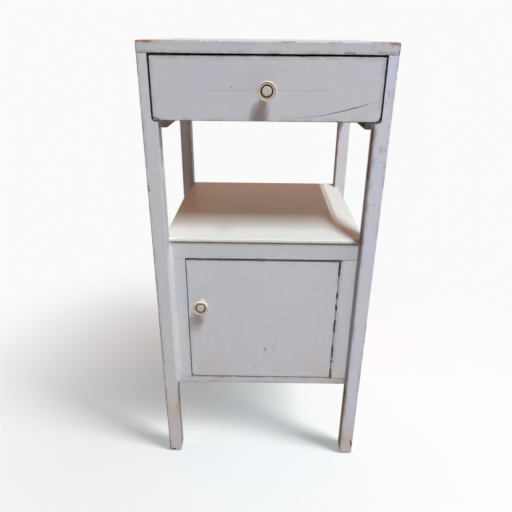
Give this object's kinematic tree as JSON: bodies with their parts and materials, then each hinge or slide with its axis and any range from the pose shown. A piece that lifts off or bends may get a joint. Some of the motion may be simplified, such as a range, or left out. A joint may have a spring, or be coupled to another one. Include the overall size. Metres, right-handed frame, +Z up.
{
  "type": "nightstand",
  "caption": "Tall painted wooden bedside stand with square legs, a drawer under the top, an open bay over a shelf, and a small hinged cupboard with turned knobs.",
  "frame": {"origin": "on the floor, under the middle of the whole box, knobs included", "axes": "+X to the stand's right as seen from the front, +Y to the back, +Z up; the drawer and door face -Y"},
  "size_m": [0.38, 0.404, 0.79],
  "materials": {
    "painted_wood": "old off-white oil paint, satin, worn at the edges",
    "bare_wood": "unfinished pine, planed",
    "painted_hinge": "steel hinge painted over with the wood, chipped",
    "knob_body": "cream, polished",
    "knob_disc": "very dark brown, polished",
    "knob_button": "greyish cream, polished",
    "steel": "plain, dull with age",
    "brass": "plain, dull with age"
  },
  "bodies": {
    "carcass": {"top_board": "painted_wood", "leg_front_left": "painted_wood", "leg_front_right": "painted_wood", "leg_rear_left": "painted_wood", "leg_rear_right": "painted_wood", "side_apron_left": "painted_wood", "side_apron_right": "painted_wood", "back_apron": "painted_wood", "drawer_runner_left": "painted_wood", "drawer_runner_right": "painted_wood", "drawer_guide_left": "bare_wood", "drawer_guide_right": "bare_wood", "shelf_board": "painted_wood", "cupboard_side_left": "painted_wood", "cupboard_side_right": "painted_wood", "cupboard_floor": "painted_wood", "cupboard_back": "painted_wood", "frame_top_rail": "painted_wood", "frame_bottom_rail": "painted_wood", "frame_stile_left": "painted_wood", "frame_stile_right": "painted_wood", "hinge_leaf_frame": "painted_hinge", "hinge_pin": "steel", "catch_strike": "brass"},
    "drawer": {"drawer_front": "painted_wood", "drawer_side_left": "bare_wood", "drawer_side_right": "bare_wood", "drawer_back": "bare_wood", "drawer_bottom": "bare_wood", "drawer_knob": "knob_body", "drawer_knob_disc": "knob_disc", "drawer_knob_button": "knob_button"},
    "door": {"door_panel": "painted_wood", "hinge_leaf_door": "painted_hinge", "door_knob": "knob_body", "door_knob_disc": "knob_disc", "door_knob_button": "knob_button", "catch_barrel": "brass", "catch_spring": "steel"},
    "catch_plunger": {"catch_plunger": "brass"}
  },
  "joints": [
    {"name": "drawer_slide", "type": "slide", "parent": "carcass", "child": "drawer", "axis": [0, -1, 0], "range_m": [0, 0.23]},
    {"name": "door_swing", "type": "hinge", "parent": "carcass", "child": "door", "pos_m": [0.1385, -0.1505, 0.304], "axis": [0, 0, 1], "range_deg": [0, 120]},
    {"name": "catch_press", "type": "slide", "parent": "door", "child": "catch_plunger", "axis": [1, 0, 0], "range_m": [0, 0.0018], "stiffness_N_per_m": 800, "deforming": ["catch_spring"]}
  ]
}
